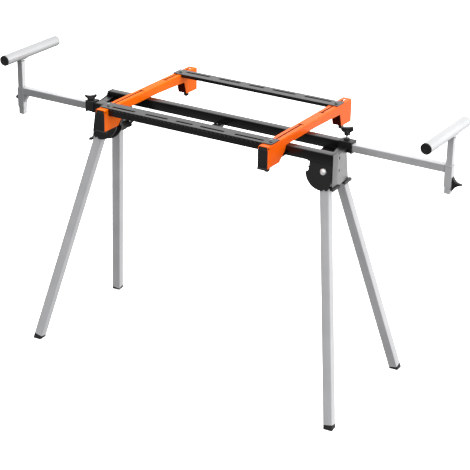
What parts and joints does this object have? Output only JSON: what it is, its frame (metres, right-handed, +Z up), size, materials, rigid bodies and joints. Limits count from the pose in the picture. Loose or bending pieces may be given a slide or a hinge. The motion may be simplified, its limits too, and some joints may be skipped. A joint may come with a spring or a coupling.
{
  "type": "miter saw stand",
  "caption": "Folding miter saw stand with splayed tube legs, telescoping side supports with raised tubes, and clamp-on orange mounting brackets joined by slotted rails.",
  "frame": {"origin": "floor level, below the centre of the overall box with the arms as in the picture", "axes": "+X along the rails to the right as the operator faces the stand, +Y to the back, +Z up"},
  "size_m": [1.5692, 0.6032, 0.949],
  "materials": {
    "black_steel": "gloss black powder coat",
    "charcoal_steel": "satin charcoal coat",
    "silver_coat": "satin silver coat on steel tube",
    "bright_tube": "bright plated tube",
    "orange_steel": "gloss orange powder coat",
    "black_plastic": "moulded black plastic",
    "black_rubber": "moulded black rubber",
    "zinc": "zinc plated"
  },
  "bodies": {
    "stand_frame": {"front_rail": "black_steel", "rear_rail": "black_steel", "front_rail_plug": "black_plastic", "rear_rail_plug": "black_plastic", "cross_brace": "black_steel", "right_end_bracket": "charcoal_steel", "left_end_bracket": "charcoal_steel", "right_inner_bracket": "charcoal_steel", "left_inner_bracket": "charcoal_steel", "left_collar": "black_plastic", "right_collar": "black_plastic", "front_right_pivot_bolt": "zinc", "front_left_pivot_bolt": "zinc", "rear_right_pivot_bolt": "zinc", "rear_left_pivot_bolt": "zinc"},
    "front_right_leg": {"front_right_leg": "silver_coat", "front_right_foot": "black_rubber"},
    "front_right_lock_lever": {"front_right_lock_lever": "black_plastic"},
    "front_left_leg": {"front_left_leg": "silver_coat", "front_left_foot": "black_rubber"},
    "front_left_lock_lever": {"front_left_lock_lever": "black_plastic"},
    "rear_right_leg": {"rear_right_leg": "silver_coat", "rear_right_foot": "black_rubber"},
    "rear_right_lock_lever": {"rear_right_lock_lever": "black_plastic"},
    "rear_left_leg": {"rear_left_leg": "silver_coat", "rear_left_foot": "black_rubber"},
    "rear_left_lock_lever": {"rear_left_lock_lever": "black_plastic"},
    "left_support_arm": {"left_arm": "silver_coat", "left_sleeve": "silver_coat"},
    "right_support_arm": {"right_arm": "silver_coat", "right_sleeve": "silver_coat"},
    "left_support_post": {"left_post": "silver_coat", "left_support_tube": "bright_tube", "left_tube_front_cap": "black_plastic", "left_tube_rear_cap": "black_plastic"},
    "left_wing_knob": {"left_wing_knob": "black_plastic"},
    "right_support_post": {"right_post": "silver_coat", "right_support_tube": "bright_tube", "right_tube_front_cap": "black_plastic", "right_tube_rear_cap": "black_plastic"},
    "right_wing_knob": {"right_wing_knob": "black_plastic"},
    "right_post_knob": {"right_post_knob": "black_plastic"},
    "left_post_screw": {"left_post_screw": "black_plastic"},
    "saw_mount": {"left_saw_bracket": "orange_steel", "right_saw_bracket": "orange_steel", "front_left_bumper": "black_rubber", "front_right_bumper": "black_rubber", "rear_left_bumper": "black_rubber", "rear_right_bumper": "black_rubber"},
    "front_saw_rail": {"front_slotted_rail": "black_steel", "front_left_bolt": "zinc", "front_right_bolt": "zinc"},
    "rear_saw_rail": {"rear_slotted_rail": "black_steel", "rear_left_bolt": "zinc", "rear_right_bolt": "zinc"},
    "left_front_lever": {"left_front_lever": "black_plastic"},
    "left_clamp_shoe": {"left_clamp_shoe": "zinc"},
    "right_front_lever": {"right_front_lever": "black_plastic"},
    "right_clamp_shoe": {"right_clamp_shoe": "zinc"},
    "left_clamp_knob": {"left_clamp_knob": "black_plastic"}
  },
  "joints": [
    {"name": "front_right_leg_fold", "type": "hinge", "parent": "stand_frame", "child": "front_right_leg", "pos_m": [0.3846, -0.10044, 0.757], "axis": [0.0569, -0.9673, 0.2472], "range_deg": [-99.69, 0]},
    {"name": "front_right_lock_pull", "type": "slide", "parent": "front_right_leg", "child": "front_right_lock_lever", "axis": [0.1823, -0.2334, -0.9551], "range_m": [0, 0.008], "stiffness_N_per_m": 600, "springref_m": -0.005},
    {"name": "front_left_leg_fold", "type": "hinge", "parent": "stand_frame", "child": "front_left_leg", "pos_m": [-0.4334, -0.10044, 0.757], "axis": [-0.0572, 0.9725, -0.2256], "range_deg": [-102.35, 0]},
    {"name": "front_left_lock_pull", "type": "slide", "parent": "front_left_leg", "child": "front_left_lock_lever", "axis": [-0.2005, -0.2326, -0.9517], "range_m": [0, 0.008], "stiffness_N_per_m": 600, "springref_m": -0.005},
    {"name": "rear_right_leg_fold", "type": "hinge", "parent": "stand_frame", "child": "rear_right_leg", "pos_m": [0.3696, -0.00644, 0.757], "axis": [0.0572, -0.9725, -0.2256], "range_deg": [-102.35, 0]},
    {"name": "rear_right_lock_pull", "type": "slide", "parent": "rear_right_leg", "child": "rear_right_lock_lever", "axis": [0.2005, 0.2326, -0.9517], "range_m": [0, 0.008], "stiffness_N_per_m": 600, "springref_m": -0.005},
    {"name": "rear_left_leg_fold", "type": "hinge", "parent": "stand_frame", "child": "rear_left_leg", "pos_m": [-0.4484, -0.00644, 0.757], "axis": [-0.0569, 0.9673, 0.2472], "range_deg": [-99.69, 0]},
    {"name": "rear_left_lock_pull", "type": "slide", "parent": "rear_left_leg", "child": "rear_left_lock_lever", "axis": [-0.1823, 0.2334, -0.9551], "range_m": [0, 0.008], "stiffness_N_per_m": 600, "springref_m": -0.005},
    {"name": "left_arm_slide", "type": "slide", "parent": "stand_frame", "child": "left_support_arm", "axis": [-1, 0, 0], "range_m": [-0.231, 0.2]},
    {"name": "right_arm_slide", "type": "slide", "parent": "stand_frame", "child": "right_support_arm", "axis": [1, 0, 0], "range_m": [-0.275, 0.158]},
    {"name": "left_post_height", "type": "slide", "parent": "left_support_arm", "child": "left_support_post", "axis": [0, 0, 1], "range_m": [-0.085, 0.045]},
    {"name": "right_post_height", "type": "slide", "parent": "right_support_arm", "child": "right_support_post", "axis": [0, 0, 1], "range_m": [-0.085, 0.045]},
    {"name": "left_wing_knob_turn", "type": "hinge", "parent": "stand_frame", "child": "left_wing_knob", "pos_m": [-0.4769, -0.11514, 0.84], "axis": [0, 0, 1], "continuous": true},
    {"name": "right_wing_knob_turn", "type": "hinge", "parent": "stand_frame", "child": "right_wing_knob", "pos_m": [0.3968, 0.00826, 0.85], "axis": [0, 0, 1], "continuous": true},
    {"name": "right_post_knob_turn", "type": "hinge", "parent": "right_support_arm", "child": "right_post_knob", "pos_m": [0.7521, 0.00826, 0.76], "axis": [1, 0, 0], "continuous": true},
    {"name": "left_post_screw_turn", "type": "hinge", "parent": "left_support_arm", "child": "left_post_screw", "pos_m": [-0.7726, -0.11514, 0.781], "axis": [-1, 0, 0], "continuous": true},
    {"name": "saw_mount_slide", "type": "slide", "parent": "stand_frame", "child": "saw_mount", "axis": [1, 0, 0], "range_m": [-0.022, 0.055]},
    {"name": "front_saw_rail_slide", "type": "slide", "parent": "saw_mount", "child": "front_saw_rail", "axis": [0, 1, 0], "range_m": [-0.01, 0.16]},
    {"name": "rear_saw_rail_slide", "type": "slide", "parent": "saw_mount", "child": "rear_saw_rail", "axis": [0, 1, 0], "range_m": [-0.08, 0.055]},
    {"name": "left_lever_open", "type": "hinge", "parent": "saw_mount", "child": "left_front_lever", "pos_m": [-0.3495, -0.23594, 0.845], "axis": [-1, 0, 0], "range_deg": [0, 80]},
    {"name": "left_shoe_drop", "type": "slide", "parent": "saw_mount", "child": "left_clamp_shoe", "axis": [0, 0, -1], "range_m": [0, 0.0025]},
    {"name": "right_lever_open", "type": "hinge", "parent": "saw_mount", "child": "right_front_lever", "pos_m": [0.245, -0.23594, 0.845], "axis": [-1, 0, 0], "range_deg": [0, 80]},
    {"name": "right_shoe_drop", "type": "slide", "parent": "saw_mount", "child": "right_clamp_shoe", "axis": [0, 0, -1], "range_m": [0, 0.0025]},
    {"name": "left_clamp_knob_turn", "type": "hinge", "parent": "left_clamp_shoe", "child": "left_clamp_knob", "pos_m": [-0.3314, -0.11614, 0.7735], "axis": [0, -1, 0], "continuous": true}
  ],
  "couplings": [
    {"joint": "left_lever_open", "follows": "left_shoe_drop", "rad_per_m": 558},
    {"joint": "right_lever_open", "follows": "right_shoe_drop", "rad_per_m": 558}
  ]
}
